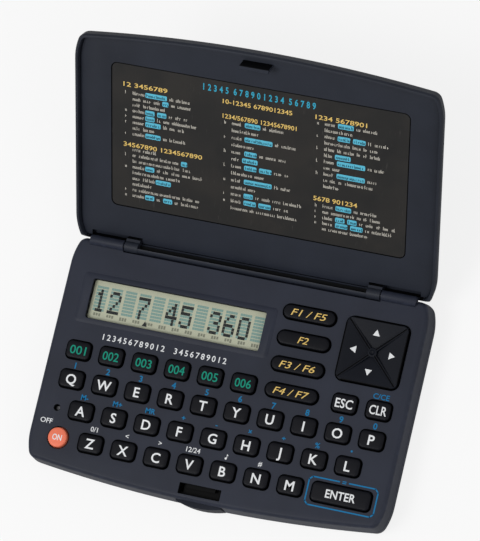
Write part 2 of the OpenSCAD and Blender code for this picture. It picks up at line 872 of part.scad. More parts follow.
// Inner plate of the lid, with the recess of the card and the hook of the latch
module lid_liner() {
    color(charcoal * 0.85)
    opened()
    difference() {
        union() {
            difference() {
                slab(rear_y, lid_wall + seat, liner_z, liner_z + liner_t);
                // notches round the ears and the knuckles
                both_sides()
                block([ear_end - ear_w - 0.3, hinge_y - notch_s - 0.3, 0], [notch_x, rear_y, roof_z]);
            }
            block([-hook_w / 2, hook_front, hook_tip],
                  [hook_w / 2, hook_front + hook_t, liner_z + liner_t / 2]);
            block([-hook_w / 2, hook_front, hook_tip],
                  [hook_w / 2, hook_front + hook_t + barb_out, hook_tip + barb_h]);
        }
        card_form(0.15, liner_z - 1, liner_z + card_t + 0.1);
    }
}

module card_form(by, z0, z1) {
    translate([card_x, hinge_y - card_s - card_l / 2, z0])
    linear_extrude(z1 - z0)
    plate([card_w + 2 * by, card_l + 2 * by], 1.8 + by);
}

module guide_card() {
    color([0.13, 0.12, 0.11])
    opened()
    card_form(0, liner_z + 0.1, liner_z + 0.1 + card_t);
}

module hinge_pins() {
    color([0.7, 0.71, 0.73])
    both_sides()
    rod(ear_end - ear_w + 0.6, knuckle_x + 5.6, [hinge_y, hinge_z], pin_dia / 2);
}

lower_case();
upper_case();
lcd_window();
lcd_panel();
lcd_connector();
circuit_board();
controller_chip();
key_mat();
buzzer();
coin_cells();
battery_contacts();
battery_door();
case_screws();
hinge_pins();
latch_button();
pad_pivot();
direction_pad();
lid_cover();
lid_liner();
guide_card();
for (key = all_keys) {
    keycap(key);
}
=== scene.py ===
import math
import random
import bpy
from mathutils import Matrix, Vector


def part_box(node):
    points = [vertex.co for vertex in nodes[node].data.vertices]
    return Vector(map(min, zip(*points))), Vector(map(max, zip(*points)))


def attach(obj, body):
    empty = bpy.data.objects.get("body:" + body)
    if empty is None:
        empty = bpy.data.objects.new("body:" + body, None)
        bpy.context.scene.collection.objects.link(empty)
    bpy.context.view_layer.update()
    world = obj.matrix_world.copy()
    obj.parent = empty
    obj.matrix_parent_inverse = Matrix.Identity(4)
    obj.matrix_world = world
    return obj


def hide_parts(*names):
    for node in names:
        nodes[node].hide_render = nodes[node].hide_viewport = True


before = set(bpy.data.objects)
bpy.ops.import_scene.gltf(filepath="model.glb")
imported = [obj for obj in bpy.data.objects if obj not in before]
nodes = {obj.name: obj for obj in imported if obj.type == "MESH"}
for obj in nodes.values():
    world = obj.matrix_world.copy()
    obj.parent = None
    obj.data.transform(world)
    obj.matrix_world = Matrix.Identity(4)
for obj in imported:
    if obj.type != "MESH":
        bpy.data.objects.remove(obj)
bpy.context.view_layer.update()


# ------ camera
# A long lens high above the front right corner, turned a little, so that the
# keyboard is seen almost square on and the open lid leans back behind it.
def placed(name, data):
    """New object of the data, in the scene."""
    thing = bpy.data.objects.new(name, data)
    bpy.context.scene.collection.objects.link(thing)
    return thing


lens = bpy.data.cameras.new("camera")
lens.sensor_width = 36
lens.lens = 256.91
lens.clip_end = 20
camera = placed("camera", lens)
camera.location = (0.34131, -0.13368, 1.15302)
camera.rotation_euler = (0.20618, 0.25289, 0.23846)
bpy.context.scene.camera = camera
bpy.context.scene.view_settings.view_transform = "Standard"


# ------ lower case
# The bottom half of the keyboard case: a shallow tray moulded in charcoal
# plastic with a fine spark-eroded surface, screwed to the upper case from below.
MM = 0.001
CASE_W, CASE_D, CASE_H = 119, 76, 11
BOW = 3.8  # the front edge stands this far ahead of its ends
CORNER = 3.4
SIDE_R, SIDE_TURN = 20, 20  # the sides curve in to the corners
CORNER_STEPS, SIDE_STEPS, BOW_STEPS = 8, 6, 36
SEAM = 4.6
REAR = CASE_D / 2
WALL = 1.5


class Wire:
    """An output in a material's nodes; arithmetic on it adds Math nodes."""

    def __init__(self, finish, socket):
        self.finish = finish
        self.socket = socket

    def math(self, operation, left, right):
        return self.finish.node("ShaderNodeMath", {"operation": operation}, {0: left, 1: right})

    def __add__(self, other):
        return self.math("ADD", self, other)

    def __sub__(self, other):
        return self.math("SUBTRACT", self, other)

    def __rsub__(self, other):
        return self.math("SUBTRACT", other, self)

    def __mul__(self, other):
        return self.math("MULTIPLY", self, other)

    def __pow__(self, other):
        return self.math("POWER", self, other)

    __radd__ = __add__
    __rmul__ = __mul__

    def clamped(self):
        return self.math("MINIMUM", self.math("MAXIMUM", self, 0.0), 1.0)


class Finish:
    """A material with one Principled shader and the nodes that vary it."""

    def __init__(self, name, color, roughness, **constants):
        self.material = bpy.data.materials.new(name)
        self.material.use_nodes = True
        tree = self.material.node_tree
        self.tree_nodes, self.links = tree.nodes, tree.links
        self.shader = tree.nodes["Principled BSDF"]
        self.shade(**{"Base Color": color, "Roughness": roughness})
        for name, value in constants.items():
            self.shader.inputs[name.replace("_", " ")].default_value = value
        self.plain = Wire(self, self.shader.outputs[0])
        self.at = self.node("ShaderNodeTexCoord", output="Object")

    def node(self, kind, settings=None, inputs=None, output=0):
        node = self.tree_nodes.new(kind)
        for name, value in (settings or {}).items():
            setattr(node, name, value)
        for name, value in (inputs or {}).items():
            self.join(node.inputs[name], value)
        return Wire(self, node.outputs[output])

    def join(self, socket, value):
        if isinstance(value, Wire):
            self.links.new(value.socket, socket)
        else:
            socket.default_value = value

    def shade(self, **inputs):
        for name, value in inputs.items():
            self.join(self.shader.inputs[name], value)

    def mixed(self, first, second, share):
        """The first colour where the share is 0, the second where it is 1."""
        return self.node("ShaderNodeMix", {"data_type": "RGBA"}, {
            0: share, 6: first, 7: second}, output=2)

    def stretched(self, factors):
        """The object's coordinates, drawn out along the axes whose factors are small."""
        return self.node("ShaderNodeVectorMath", {"operation": "MULTIPLY"}, {
            0: self.at, 1: factors})

    def noise(self, size, detail=2.0, at=None):
        """Noise whose features are about size millimetres across."""
        return self.node("ShaderNodeTexNoise", None, {
            "Vector": at or self.at, "Scale": 1 / (size * MM), "Detail": detail})

    def band(self, value, low, high):
        """0 below low, 1 above high."""
        return self.node("ShaderNodeMapRange", None, {
            "Value": value, "From Min": low, "From Max": high})

    def facing(self, up):
        """How far the surface faces the direction up, from -1 to 1."""
        normal = self.node("ShaderNodeTexCoord", output="Normal")
        return self.node("ShaderNodeVectorMath", {"operation": "DOT_PRODUCT"}, {
            0: normal, 1: up}, output="Value")

    def bump(self, height, depth, under=None):
        """Relief depth millimetres deep, where height runs from 0 to 1."""
        inputs = {"Height": height, "Distance": depth * MM, "Strength": 1.0}
        if under:
            inputs["Normal"] = under
        return self.node("ShaderNodeBump", None, inputs)


def seen(red, green, blue):
    """Linear colour of the 0 to 255 values that the eye sees."""
    return tuple(((c / 255 + 0.055) / 1.055) ** 2.4 if c > 10 else c / 255 / 12.92
                 for c in (red, green, blue)) + (1.0,)


def scaled(color, factor):
    return tuple(c * factor for c in color[:3]) + (1.0,)


def moulded(name, color, roughness, grain=0.35, relief=0.02, up=(0, 0, 1), rub=0.4, dust=0.15,
            gloss=0.25, painted_shade_from=None):
    """Moulded plastic: spark-eroded grain, faint flow marks, pale rubbed edges and a little dust; where
    a depth in millimetres is given, all behind it is painted black as painted shade."""
    finish = Finish(name, color, roughness, Specular_IOR_Level=gloss)
    pits = finish.noise(grain, 3)
    flow = finish.noise(14, 3)
    cloud = finish.noise(38, 2)
    level = finish.facing(up)
    edge = (level * (1 - level) * 4).clamped() ** 1.5
    patches = finish.band(finish.noise(1.6, 4), 0.42, 0.68)
    worn = (edge * patches * rub).clamped()
    marks = finish.noise(0.16, 2, finish.stretched((1, 0.045, 1)))
    scratch = finish.band(marks, 0.70, 0.76) * finish.band(finish.noise(9, 2), 0.5, 0.62)
    lint = finish.band(finish.noise(0.5, 5), 0.66, 0.74)
    lint = lint * finish.band(finish.noise(11, 3), 0.45, 0.65)
    mottle = finish.band(flow * 0.6 + cloud * 0.4, 0.35, 0.65)
    tone = finish.mixed(scaled(color, 0.86), scaled(color, 1.16), mottle)
    speck = finish.mixed(tone, scaled(color, 1.5), finish.band(pits, 0.52, 0.78) * 0.35)
    aged = finish.mixed(speck, scaled(color, 2.3), (worn + scratch * 0.28).clamped())
    surface = finish.mixed(aged, seen(120, 116, 108), (lint * dust).clamped())
    if painted_shade_from is not None:
        # painted shade: the colour turns black behind the given depth
        depth = finish.node("ShaderNodeSeparateXYZ", None, {0: finish.at}, output=1)
        painted_shade = finish.band(depth, painted_shade_from * MM, (painted_shade_from + 0.3) * MM)
        surface = finish.mixed(surface, seen(3, 3, 4), painted_shade)
    finish.shade(**{
        "Base Color": surface,
        "Roughness": (roughness + (pits - 0.5) * 0.16 - worn * 0.12 + scratch * 0.06).clamped(),
        "Normal": finish.bump(flow, 0.03, finish.bump(pits, relief))})
    return finish.material


def arc(x, y, radius, start, end, steps):
    """Points on an arc in plan, angles in degrees."""
    points = []
    for i in range(steps + 1):
        a = math.radians(start + (end - start) * i / steps)
        points.append((x + radius * math.cos(a), y + radius * math.sin(a)))
    return points


def outline(inset):
    """Plan of the case and of the lid, clockwise from the rear right corner."""
    bow_r = ((CASE_W / 2) ** 2 + BOW ** 2) / (2 * BOW)
    bow_y = bow_r - CASE_D / 2
    side = CASE_W / 2 - SIDE_R
    x = CASE_W / 2 - CORNER - (SIDE_R - CORNER) * (1 - math.cos(math.radians(SIDE_TURN)))
    run = (SIDE_R - CORNER) * math.sin(math.radians(SIDE_TURN))
    y = bow_y - math.sqrt((bow_r - CORNER) ** 2 - x ** 2)
    tip = math.degrees(math.atan2(y - bow_y, x))
    rear = REAR - CORNER
    radius, sweep = CORNER - inset, SIDE_R - inset
    front = arc(0, bow_y, bow_r - inset, tip, -180 - tip, BOW_STEPS)[1:-1]
    return (arc(x, rear, radius, 90, SIDE_TURN, CORNER_STEPS)
            + arc(side, rear - run, sweep, SIDE_TURN, 0, SIDE_STEPS)[1:]
            + arc(side, y + run, sweep, 0, -SIDE_TURN, SIDE_STEPS)
            + arc(x, y, radius, -SIDE_TURN, tip, CORNER_STEPS)[1:] + front
            + arc(-x, y, radius, -180 - tip, SIDE_TURN - 180, CORNER_STEPS)
            + arc(-side, y + run, sweep, SIDE_TURN - 180, -180, SIDE_STEPS)[1:]
            + arc(-side, rear - run, sweep, 180, 180 - SIDE_TURN, SIDE_STEPS)
            + arc(-x, rear, radius, 180 - SIDE_TURN, 90, CORNER_STEPS)[1:])


def plate_outline(x, y, width, depth, radius, steps=6):
    """Rectangle with round corners, about its middle."""
    dx, dy = width / 2 - radius, depth / 2 - radius
    return (arc(x + dx, y + dy, radius, 90, 0, steps)
            + arc(x + dx, y - dy, radius, 0, -90, steps)
            + arc(x - dx, y - dy, radius, -90, -180, steps)
            + arc(x - dx, y + dy, radius, 180, 90, steps))


def raised(points, z):
    return [(x, y, z) for x, y in points]


def rounding(z, radius, up, inset, steps=8):
    """Heights and insets round an edge that ends at height z; up is 1 for a top edge."""
    turns = [math.radians(90 * i / steps) for i in range(steps + 1)]
    return [(z - up * radius * (1 - math.sin(a)), inset + radius * (1 - math.cos(a)))
            for a in turns]


def made(name, points, faces):
    """Mesh object from points in millimetres, with its faces turned outwards."""
    mesh = bpy.data.meshes.new(name)
    mesh.from_pydata([Vector(p) * MM for p in points], [], faces)
    piece = placed(name, mesh)
    volume = 0.0
    mesh.calc_loop_triangles()
    for triangle in mesh.loop_triangles:
        a, b, c = (mesh.vertices[i].co for i in triangle.vertices)
        volume += a.dot(b.cross(c))
    if volume < 0:
        mesh.flip_normals()
    return piece


def loft(name, rings):
    """Closed solid through rings of points, one after the other."""
    count = len(rings[0])
    points = [p for ring in rings for p in ring]
    faces = [tuple(reversed(range(count)))]
    for i in range(len(rings) - 1):
        for j in range(count):
            k = (j + 1) % count
            faces.append((i * count + j, i * count + k, (i + 1) * count + k, (i + 1) * count + j))
    faces.append(tuple(range((len(rings) - 1) * count, len(rings) * count)))
    return made(name, points, faces)


def prism(plan, bottom, top):
    """Upright solid over a plan, between two heights."""
    return loft("prism", [raised(plan, bottom), raised(plan, top)])


def shell_form(layers):
    """Solid in the plan of the case, through layers of (height, inset)."""
    return loft("form", [raised(outline(inset), z) for z, inset in layers])


def box(low, high):
    (x0, y0, z0), (x1, y1, z1) = low, high
    return prism([(x0, y0), (x0, y1), (x1, y1), (x1, y0)], z0, z1)


def block(half, depth, height):
    """Box across the middle of the part, from one place to another in depth and in height."""
    return box((-half, depth[0], height[0]), (half, depth[1], height[1]))


def turned(axis, at, stations, steps=32):
    """Solid of revolution along x or z through stations of (place along the axis, radius)."""
    rings = []
    for place, radius in stations:
        ring = []
        for i in range(steps):
            a = 2 * math.pi * i / steps
            u, v = at[0] + radius * math.cos(a), at[1] + radius * math.sin(a)
            ring.append((place, u, v) if axis == "x" else (u, v, place))
        rings.append(ring)
    return loft("turned", rings)


def rod(axis, at, ends, radius, steps=32):
    return turned(axis, at, [(end, radius) for end in ends], steps)


def joined(pieces):
    """One object from pieces that don't touch."""
    first = pieces[0]
    if len(pieces) > 1:
        with bpy.context.temp_override(
                active_object=first, object=first, selected_objects=pieces,
                selected_editable_objects=pieces):
            bpy.ops.object.join()
    return first


def evaluated(piece):
    """Mesh of a piece as its modifiers or its letters make it."""
    graph = bpy.context.evaluated_depsgraph_get()
    return bpy.data.meshes.new_from_object(piece.evaluated_get(graph))


def applied(piece):
    """Puts the result of the modifiers into the mesh."""
    mesh = evaluated(piece)
    piece.modifiers.clear()
    old = piece.data
    piece.data = mesh
    bpy.data.meshes.remove(old)


def carved(piece, operation, tools):
    """Joins the tools to the piece, or cuts them out of it."""
    tool = joined(tools)
    modifier = piece.modifiers.new("carve", "BOOLEAN")
    modifier.operation = operation
    modifier.object = tool
    modifier.solver = "EXACT"
    applied(piece)
    bpy.data.objects.remove(tool)
    return piece


def cut(piece, *tools):
    return carved(piece, "DIFFERENCE", list(tools))


def added(piece, *tools):
    for tool in tools:
        carved(piece, "UNION", [tool])
    return piece


def settled(piece, name, material, angle=28):
    """Names the piece, gives it its material and smooths all but its sharp edges."""
    piece.name = name
    piece.data.name = name
    piece.data.materials.clear()
    piece.data.materials.append(material)
    piece.data.polygons.foreach_set("material_index", [0] * len(piece.data.polygons))
    piece.data.shade_smooth()
    piece.data.set_sharp_from_angle(angle=math.radians(angle))
    return piece


def well(x, y, width, depth, radius, bottom, top, flare):
    """Cutter for an opening whose upper edge is broken by flare."""
    narrow = plate_outline(x, y, width, depth, radius)
    wide = plate_outline(x, y, width + 4 * flare, depth + 4 * flare, radius + 2 * flare)
    return loft("well", [raised(narrow, bottom), raised(narrow, top - flare),
                         raised(wide, top + flare)])


def pillars(boss, boss_r, stay):
    """Posts at the bosses and at the stays, each between two heights."""
    return joined([rod("z", at, boss, boss_r) for at in BOSSES]
                  + [rod("z", at, stay, STAY_R) for at in STAYS])


BOSSES = [(37, 32.4), (-37, 32.4), (28, -33.2), (-28, -33.2)]  # round the case screws
STAYS = [(55.4, -17.2), (-55.4, -17.2), (52, 32), (-52, 32)]  # under the board
BOSS_R, STAY_R = 2.2, 1.4
FLOOR = 1.4
ROOT = FLOOR - 0.1  # where what stands on the floor starts
BOARD_UNDER = 5.4
LATCH_HALF = 14.8 / 2 + 0.3  # the latch button's half width and its play
LATCH_DEPTH = (-41, -35.5)
DOOR_HALF = 23
DOOR_DEPTH = (1.7, 40)
charcoal = seen(37, 41, 54)
case_plastic = moulded("case plastic", charcoal, 0.52)

lower = shell_form(rounding(0, 2.4, -1, 0)[::-1] + [(SEAM - 0.2, 0.0), (SEAM, 0.16)])
lower = cut(lower, shell_form([(FLOOR, WALL), (SEAM + 1, WALL)]))
lip = shell_form([(ROOT, WALL + 0.1), (SEAM + 1, WALL + 0.1)])
lip = cut(lip, shell_form([(0, WALL + 0.9), (SEAM + 2, WALL + 0.9)]))
lower = added(lower, lip)
posts = pillars((ROOT, 3.0), BOSS_R + 0.8, (ROOT, BOARD_UNDER))
cell_fence = block(25.7, (0.7, 34), (ROOT, BOARD_UNDER))
cell_fence = cut(cell_fence, block(24.6, (DOOR_DEPTH[0], 36), (0, 7)))
lower = added(lower, posts, cell_fence)
# for each screw a countersink, its shank's hole and a socket for the upper boss
seat = [(-1, BOSS_R + 0.15), (0.15, BOSS_R + 0.15), (0.3, BOSS_R), (1.7, BOSS_R),
        (1.7, 1.15), (3.2, 1.15), (3.2, BOSS_R + 0.1), (9, BOSS_R + 0.1)]
lower = cut(lower, *[turned("z", at, seat) for at in BOSSES])
lower = cut(lower, block(LATCH_HALF, LATCH_DEPTH, (1.9, 9)))
lower = cut(lower, block(8.9, (-36.5, -33.7), (1.9, 9)))
# the battery door's opening, and above it the grooves of its runners
lower = cut(lower, block(DOOR_HALF + 0.3, DOOR_DEPTH, (-1, 2.5)))
lower = cut(lower, block(DOOR_HALF + 1.5, DOOR_DEPTH, (1.3, 2.5)))
settled(lower, "lower_shell", case_plastic)
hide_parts("lower_case")
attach(lower, "base")


# ------ upper case
# The top half of the case: the keyboard face with an opening for each key,
# the raised frame of the display, the latch slot and the two hinge knuckles.
HINGE = (37.1, 10.8)  # y and z of the lid's axis
HINGE_R = 1.7
PIN_R = 0.8
TROUGH_R = 2.1  # the hollow for the lid's hinge bar
KNUCKLE = (42.6, 54.0)  # its ends, from the middle
UNDER = CASE_H - 1.5  # the underside of the keyboard face
KEY_GAP = 0.3
FLANGE_OUT = KEY_GAP + 0.5  # how far a key's flange stands out from its cap
DISPLAY = (-20.9, 18.8)  # middle of the window
WINDOW = (57.7, 12.7)
PAD = (44.0, 18.9)
PAD_HOLE = 20.7
SLOT = (0, -34, 13.5, 3.3)  # middle and size of the hook's slot
RESET = (-51.7, -17.3)


def key_plan(name):
    """Middle and size of a key's cap, in millimetres, from its CAD node."""
    low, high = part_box(name)
    width, depth = ((high[i] - low[i]) / MM - 2 * FLANGE_OUT for i in (0, 1))
    return (low[0] + high[0]) / 2 / MM, (low[1] + high[1]) / 2 / MM, width, depth


def key_radius(name, depth):
    round_end = name == "key_on" or "function" in name
    return depth * 0.49 if round_end else 1.5


def window_plan(more_width, more_depth, radius):
    """Plan about the display's window, wider and deeper than it."""
    return plate_outline(*DISPLAY, WINDOW[0] + more_width, WINDOW[1] + more_depth, radius)


def pin_bores(start, end):
    """Cutters for the two hinge pins' bores, from start to end on either side."""
    return [rod("x", HINGE, (side * start, side * end), PIN_R, 24) for side in (-1, 1)]


def faces_of(piece, wanted):
    """Numbers of the faces wanted, by their middle in millimetres and their normal."""
    return [f.index for f in piece.data.polygons if wanted(*(f.center / MM), f.normal)]


def part_painted(piece, material, faces):
    """Gives some faces of a piece a second material."""
    piece.data.materials.append(material)
    for index in faces:
        piece.data.polygons[index].material_index = 1


keys = sorted(name for name in nodes if name.startswith("key_") and name != "key_mat")

upper = shell_form([(SEAM, 0.16), (SEAM + 0.2, 0.02)] + rounding(CASE_H, 1.4, 1, 0.5))
upper = cut(upper, shell_form([(SEAM - 1, WALL), (5.8, WALL), (5.8, WALL + 0.5),
                               (UNDER, WALL + 0.5)]))
FRAME_TOP = CASE_H + 0.25
frame_rings = [raised(window_plan(6.8, 3.4, 1.2), UNDER),
               raised(window_plan(6.8, 3.4, 1.2), CASE_H + 0.03),
               raised(window_plan(5.0, 2.0, 0.6), FRAME_TOP)]
hinge_beam = block(44.5, (33.9, 37.2), (7.4, UNDER + 0.1))
upper = added(upper, loft("frame", frame_rings), hinge_beam)
knuckles = []
for side in (-1, 1):
    inner, outer = KNUCKLE
    ends = [(side * inner, 1.55), (side * (inner + 0.15), HINGE_R), (side * (outer - 0.5), HINGE_R),
            (side * (outer - 0.15), 1.55), (side * outer, 1.2)]
    knuckles.append(turned("x", HINGE, ends, 40))
posts = pillars((3.0, UNDER + 0.1), BOSS_R, (BOARD_UNDER + 1, UNDER + 0.1))
upper = added(upper, joined(knuckles), posts)
wells = []
for name in keys:
    x, y, width, depth = key_plan(name)
    wells.append(well(x, y, width + 2 * KEY_GAP, depth + 2 * KEY_GAP,
                      key_radius(name, depth) + KEY_GAP, UNDER - 0.5, CASE_H, 0.12))
wells.append(well(*PAD, PAD_HOLE, PAD_HOLE, 2.5, UNDER - 0.5, CASE_H, 0.15))
wells.append(well(*DISPLAY, *WINDOW, 0.8, UNDER - 0.5, FRAME_TOP, 0.15))
wells.append(well(*SLOT, 0.2, UNDER - 0.5, CASE_H, 0.12))
reset_hole = [(UNDER - 1, 1.0), (CASE_H - 0.12, 1.0), (CASE_H + 0.2, 1.32)]
wells.append(turned("z", RESET, reset_hole, 24))
upper = cut(upper, *wells)
upper = cut(upper, prism(window_plan(3.2, 2.8, 1), UNDER - 1, UNDER + 1))
upper = cut(upper, rod("x", HINGE, (-KNUCKLE[0], KNUCKLE[0]), TROUGH_R, 64))
upper = cut(upper, block(5.7, (SLOT[1], -30.9), (UNDER - 1, 10.4)))
upper = cut(upper, block(LATCH_HALF, LATCH_DEPTH, (0, UNDER)))
pilots = [rod("z", at, (2, 8.7), 0.95, 24) for at in BOSSES]
upper = cut(upper, *pilots, *pin_bores(KNUCKLE[0] - 1, KNUCKLE[0] + 6))
settled(upper, "upper_shell", case_plastic)


def in_opening(x, y, z, normal):
    """A wall or broken edge of one of the face's openings, away from the case's own sides."""
    front = BOW * (2 * x / CASE_W) ** 2 - REAR
    return (abs(normal.z) < 0.95 and abs(x) < 56 and front + 2.2 < y < 34.8
            and z < CASE_H - 0.01)


# the walls of the openings are painted black: painted shade for the dark wells round the keys, the pad
# and the display
shade_black_plastic = moulded("bare plastic", seen(5, 6, 8), 0.65, rub=0.0, dust=0.02, gloss=0.1)
part_painted(upper, shade_black_plastic, faces_of(upper, in_opening))
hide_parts("upper_case")
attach(upper, "base")


# ------ key caps
# Forty small caps moulded in near-black plastic, one coral, each with a flange
# under the face and a printed legend; a rubber dome pushes each one back up.
KEY_TOP = 12.2
FLANGE = (8.3, 9.2)  # its lower and upper face
key_plastic = moulded("key plastic", seen(14, 15, 21), 0.42, grain=0.22, relief=0.008, rub=0.3,
                      dust=0.06, gloss=0.12)
on_plastic = moulded("on key plastic", seen(255, 132, 100), 0.4, grain=0.22, relief=0.008,
                     rub=0.15, dust=0.0)
# near-black for the sides of the caps and the pad: painted shade for the gaps round them
shade_black_sides = moulded("key sides", seen(4, 4, 6), 0.5, 0.5, 0.004, rub=0.0, dust=0.0, gloss=0.1)


def keycap(name):
    x, y, width, depth = key_plan(name)
    radius = key_radius(name, depth)

    def ring(z, inset):
        r = max(radius - inset, 0.15)
        return raised(plate_outline(x, y, width - 2 * inset, depth - 2 * inset, r), z)

    rings = [ring(KEY_TOP - 1.5, 1.1), ring(FLANGE[0], 0.9)]
    rings += [ring(FLANGE[0], -FLANGE_OUT), ring(FLANGE[1], -FLANGE_OUT)]
    rings += [ring(FLANGE[1], 0.0), ring(KEY_TOP - 0.62, 0.08)]
    rings += [ring(z, inset) for z, inset in rounding(KEY_TOP - 0.04, 0.5, 1, 0.08, 5)]
    rings.append(ring(KEY_TOP, 1.1))
    return loft(name, rings)


for name in keys:
    plastic = on_plastic if name == "key_on" else key_plastic
    cap = settled(keycap(name), "cap_" + name[4:], plastic, 35)
    if name != "key_on":
        # only the tops are textured; the sides are painted near-black as painted shade for the dark gap
        # round each cap
        sides = faces_of(cap, lambda x, y, z, normal: abs(normal.z) < 0.6)
        part_painted(cap, shade_black_sides, sides)
    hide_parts(name)
    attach(cap, name)
    "on_key_plastic" if name == "key_on" else "key_plastic"


# ------ legends
# Pad-printed legends: a film of paint a few hundredths of a millimetre thick
# on the caps and on the keyboard face, a little rubbed where fingers land.
def paint(name, color, wear=0.16):
    finish = Finish(name, color, 0.5, Specular_IOR_Level=0.2)
    rubbed = finish.band(finish.noise(0.5, 4), 0.55, 0.75) * wear
    shade = finish.noise(2.5, 2)
    fresh = finish.mixed(scaled(color, 0.93), scaled(color, 1.05), shade)
    finish.shade(**{
        "Base Color": finish.mixed(fresh, scaled(charcoal, 1.2), rubbed.clamped()),
        "Roughness": (0.42 + shade * 0.16).clamped(),
        "Normal": finish.bump(finish.noise(0.15, 2), 0.004)})
    return finish.material


white_ink = paint("white ink", seen(240, 242, 244), 0.06)
green_ink = paint("green ink", seen(0, 146, 122), 0.04)
amber_ink = paint("amber ink", seen(240, 204, 116), 0.05)
blue_ink = paint("blue ink", seen(2, 118, 172), 0.04)
FILM = 0.03


def lettering(words, height, width=None, bold=0.0, slant=0.0, spacing=1.0):
    """Flat letters as a mesh in millimetres about their middle; width squeezes them to fit."""
    curve = bpy.data.curves.new("letters", "FONT")
    curve.body = words
    curve.size = height / 0.72
    curve.offset = bold
    curve.shear = slant
    curve.space_character = spacing
    curve.align_x = "CENTER"
    curve.resolution_u = 3
    curve.extrude = FILM / 2
    text = placed("letters", curve)
    mesh = evaluated(text)
    bpy.data.objects.remove(text)
    xs = [v.co.x for v in mesh.vertices]
    middle, reach = (max(xs) + min(xs)) / 2, max(xs) - min(xs)
    squeeze = width / reach if width else 1.0
    centred = Matrix.Translation((-middle * squeeze, -height / 2, 0))
    mesh.transform(centred @ Matrix.Diagonal((squeeze, 1, 1, 1)))
    return mesh


def stamped(mesh, at, facing=None):
    """Object of the printed mesh with its middle at a point, in millimetres."""
    place = Matrix.Translation(Vector(at) * MM) @ (facing or Matrix.Identity(4))
    mesh.transform(place @ Matrix.Scale(MM, 4))
    return placed("print", mesh)


def printed(pieces, name, body, ink):
    """Joins prints of one colour into a piece that rides on a body."""
    piece = joined(pieces)
    settled(piece, name, ink, 40)
    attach(piece, body)
    return piece


def spun(points, middle, turn):
    """Points about (0, 0), turned and moved to a middle."""
    c, s = math.cos(turn), math.sin(turn)
    return [(middle[0] + x * c - y * s, middle[1] + x * s + y * c) for x, y in points]


def bar(x, y, width, depth, z, turn=0.0):
    """Thin printed bar."""
    u, v = width / 2, depth / 2
    corners = spun([(-u, -v), (u, -v), (u, v), (-u, v)], (x, y), turn)
    return prism(corners, z - FILM / 2, z + FILM / 2)


# words, height, width, weight and ink of all but the letters
LEGENDS = {"esc": ("ESC", 2.9, 5.6, 0.05, white_ink), "clr": ("CLR", 2.9, 5.6, 0.05, white_ink),
           "enter": ("ENTER", 2.6, 9.6, 0.06, white_ink), "on": ("ON", 1.9, 3.1, 0.04, white_ink)}
for number in "123456":
    LEGENDS["language_" + number] = ("00" + number, 2.8, 5.3, 0.03, green_ink)
for i, words in enumerate(["F1 / F5", "F2", "F3 / F6", "F4 / F7"]):
    LEGENDS[f"function_{i + 1}"] = (words, 2.2, 3.4 if words == "F2" else 11.6, 0.0, amber_ink)
for name in keys:
    tail = name[4:]
    letter = (tail.upper(), 3.15, None, 0.07, white_ink)
    words, height, width, bold, ink = LEGENDS.get(tail, letter)
    mesh = lettering(words, height, width, bold, slant=0.25 if "function" in tail else 0.0)
    printed([stamped(mesh, (*key_plan(name)[:2], KEY_TOP + FILM / 2))], "legend_" + tail, name, ink)

ON_FACE = CASE_H + FILM / 2
COLUMN = 11  # pitch of the keys
LEFT, TOP = -49, 1.7  # middle of the Q key
DIGIT_Y, SIGN_Y, WORD_Y = TOP - 4.85, TOP - 14.2, TOP - 23.4
blues, whites = [], []


def on_face(words, height, x, y, **style):
    return stamped(lettering(words, height, **style), (x, y, ON_FACE))


def face_dot(x, y, radius, steps):
    return rod("z", (x, y), (CASE_H, CASE_H + FILM), radius, steps)


for i, digit in enumerate("1234567890"):
    blues.append(on_face(digit, 1.95, LEFT + COLUMN * i, DIGIT_Y, bold=0.06))
for i, sign in enumerate(["M-", "M+", "MR", "+", "-", "×", "÷", "%"]):
    blues.append(on_face(sign, 1.7, LEFT + COLUMN * (i + 0.5), SIGN_Y, bold=0.05))
blues.append(face_dot(LEFT + COLUMN * 8.5, TOP - 13.9, 0.34, 16))
blues.append(on_face("C/CE", 1.7, LEFT + 98.8, TOP + 4.4, width=5.2, bold=0.03))
blues.append(on_face("=", 1.8, 44.5, -22.1, bold=0.04))
for i, sign in ((1, "0/1"), (2, "<"), (3, ">"), (4, "12/24"), (6, "#")):
    whites.append(on_face(sign, 1.6, LEFT + COLUMN * i, WORD_Y, bold=0.02))
# a note over the B key: its head, stem and flag
x, y = LEFT + COLUMN * 5, WORD_Y
whites.append(added(face_dot(x - 0.2, y - 0.55, 0.36, 20), bar(x + 0.06, y + 0.1, 0.18, 1.5, ON_FACE),
                    bar(x + 0.24, y + 0.55, 0.56, 0.2, ON_FACE, -0.9)))
whites.append(on_face("OFF", 1.6, -54.1, -21.8, width=4.0, bold=0.02))
whites.append(on_face("123456789012  3456789012", 1.9, LEFT + 27.2, TOP + 5.8, width=41.2,
                      bold=0.03, spacing=1.4))
# line round the enter key, open above its middle, with cut corners
x0, x1, y0, y1 = 33.4, 55.6, -30.9, -22.1
corners = [(42.9, y1), (x0 + 1, y1), (x0, y1 - 1), (x0, y0 + 1), (x0 + 1, y0), (x1 - 1, y0),
           (x1, y0 + 1), (x1, y1 - 1), (x1 - 1, y1), (46.1, y1)]
for (ax, ay), (bx, by) in zip(corners, corners[1:]):
    length, turn = math.hypot(bx - ax, by - ay), math.atan2(by - ay, bx - ax)
    blues.append(bar((ax + bx) / 2, (ay + by) / 2, length + 0.3, 0.42, ON_FACE, turn))
printed(blues, "face_marks_blue", "base", blue_ink)
printed(whites, "face_marks_white", "base", white_ink)


# ------ display
# A one-line reflective liquid crystal display of twelve cells behind a clear
# window; the cells stand on the grey-green glass, the unlit dots a shade darker.
def coated(name, material):
    """Gives a CAD node its material."""
    nodes[name].data.materials.clear()
    nodes[name].data.materials.append(material)


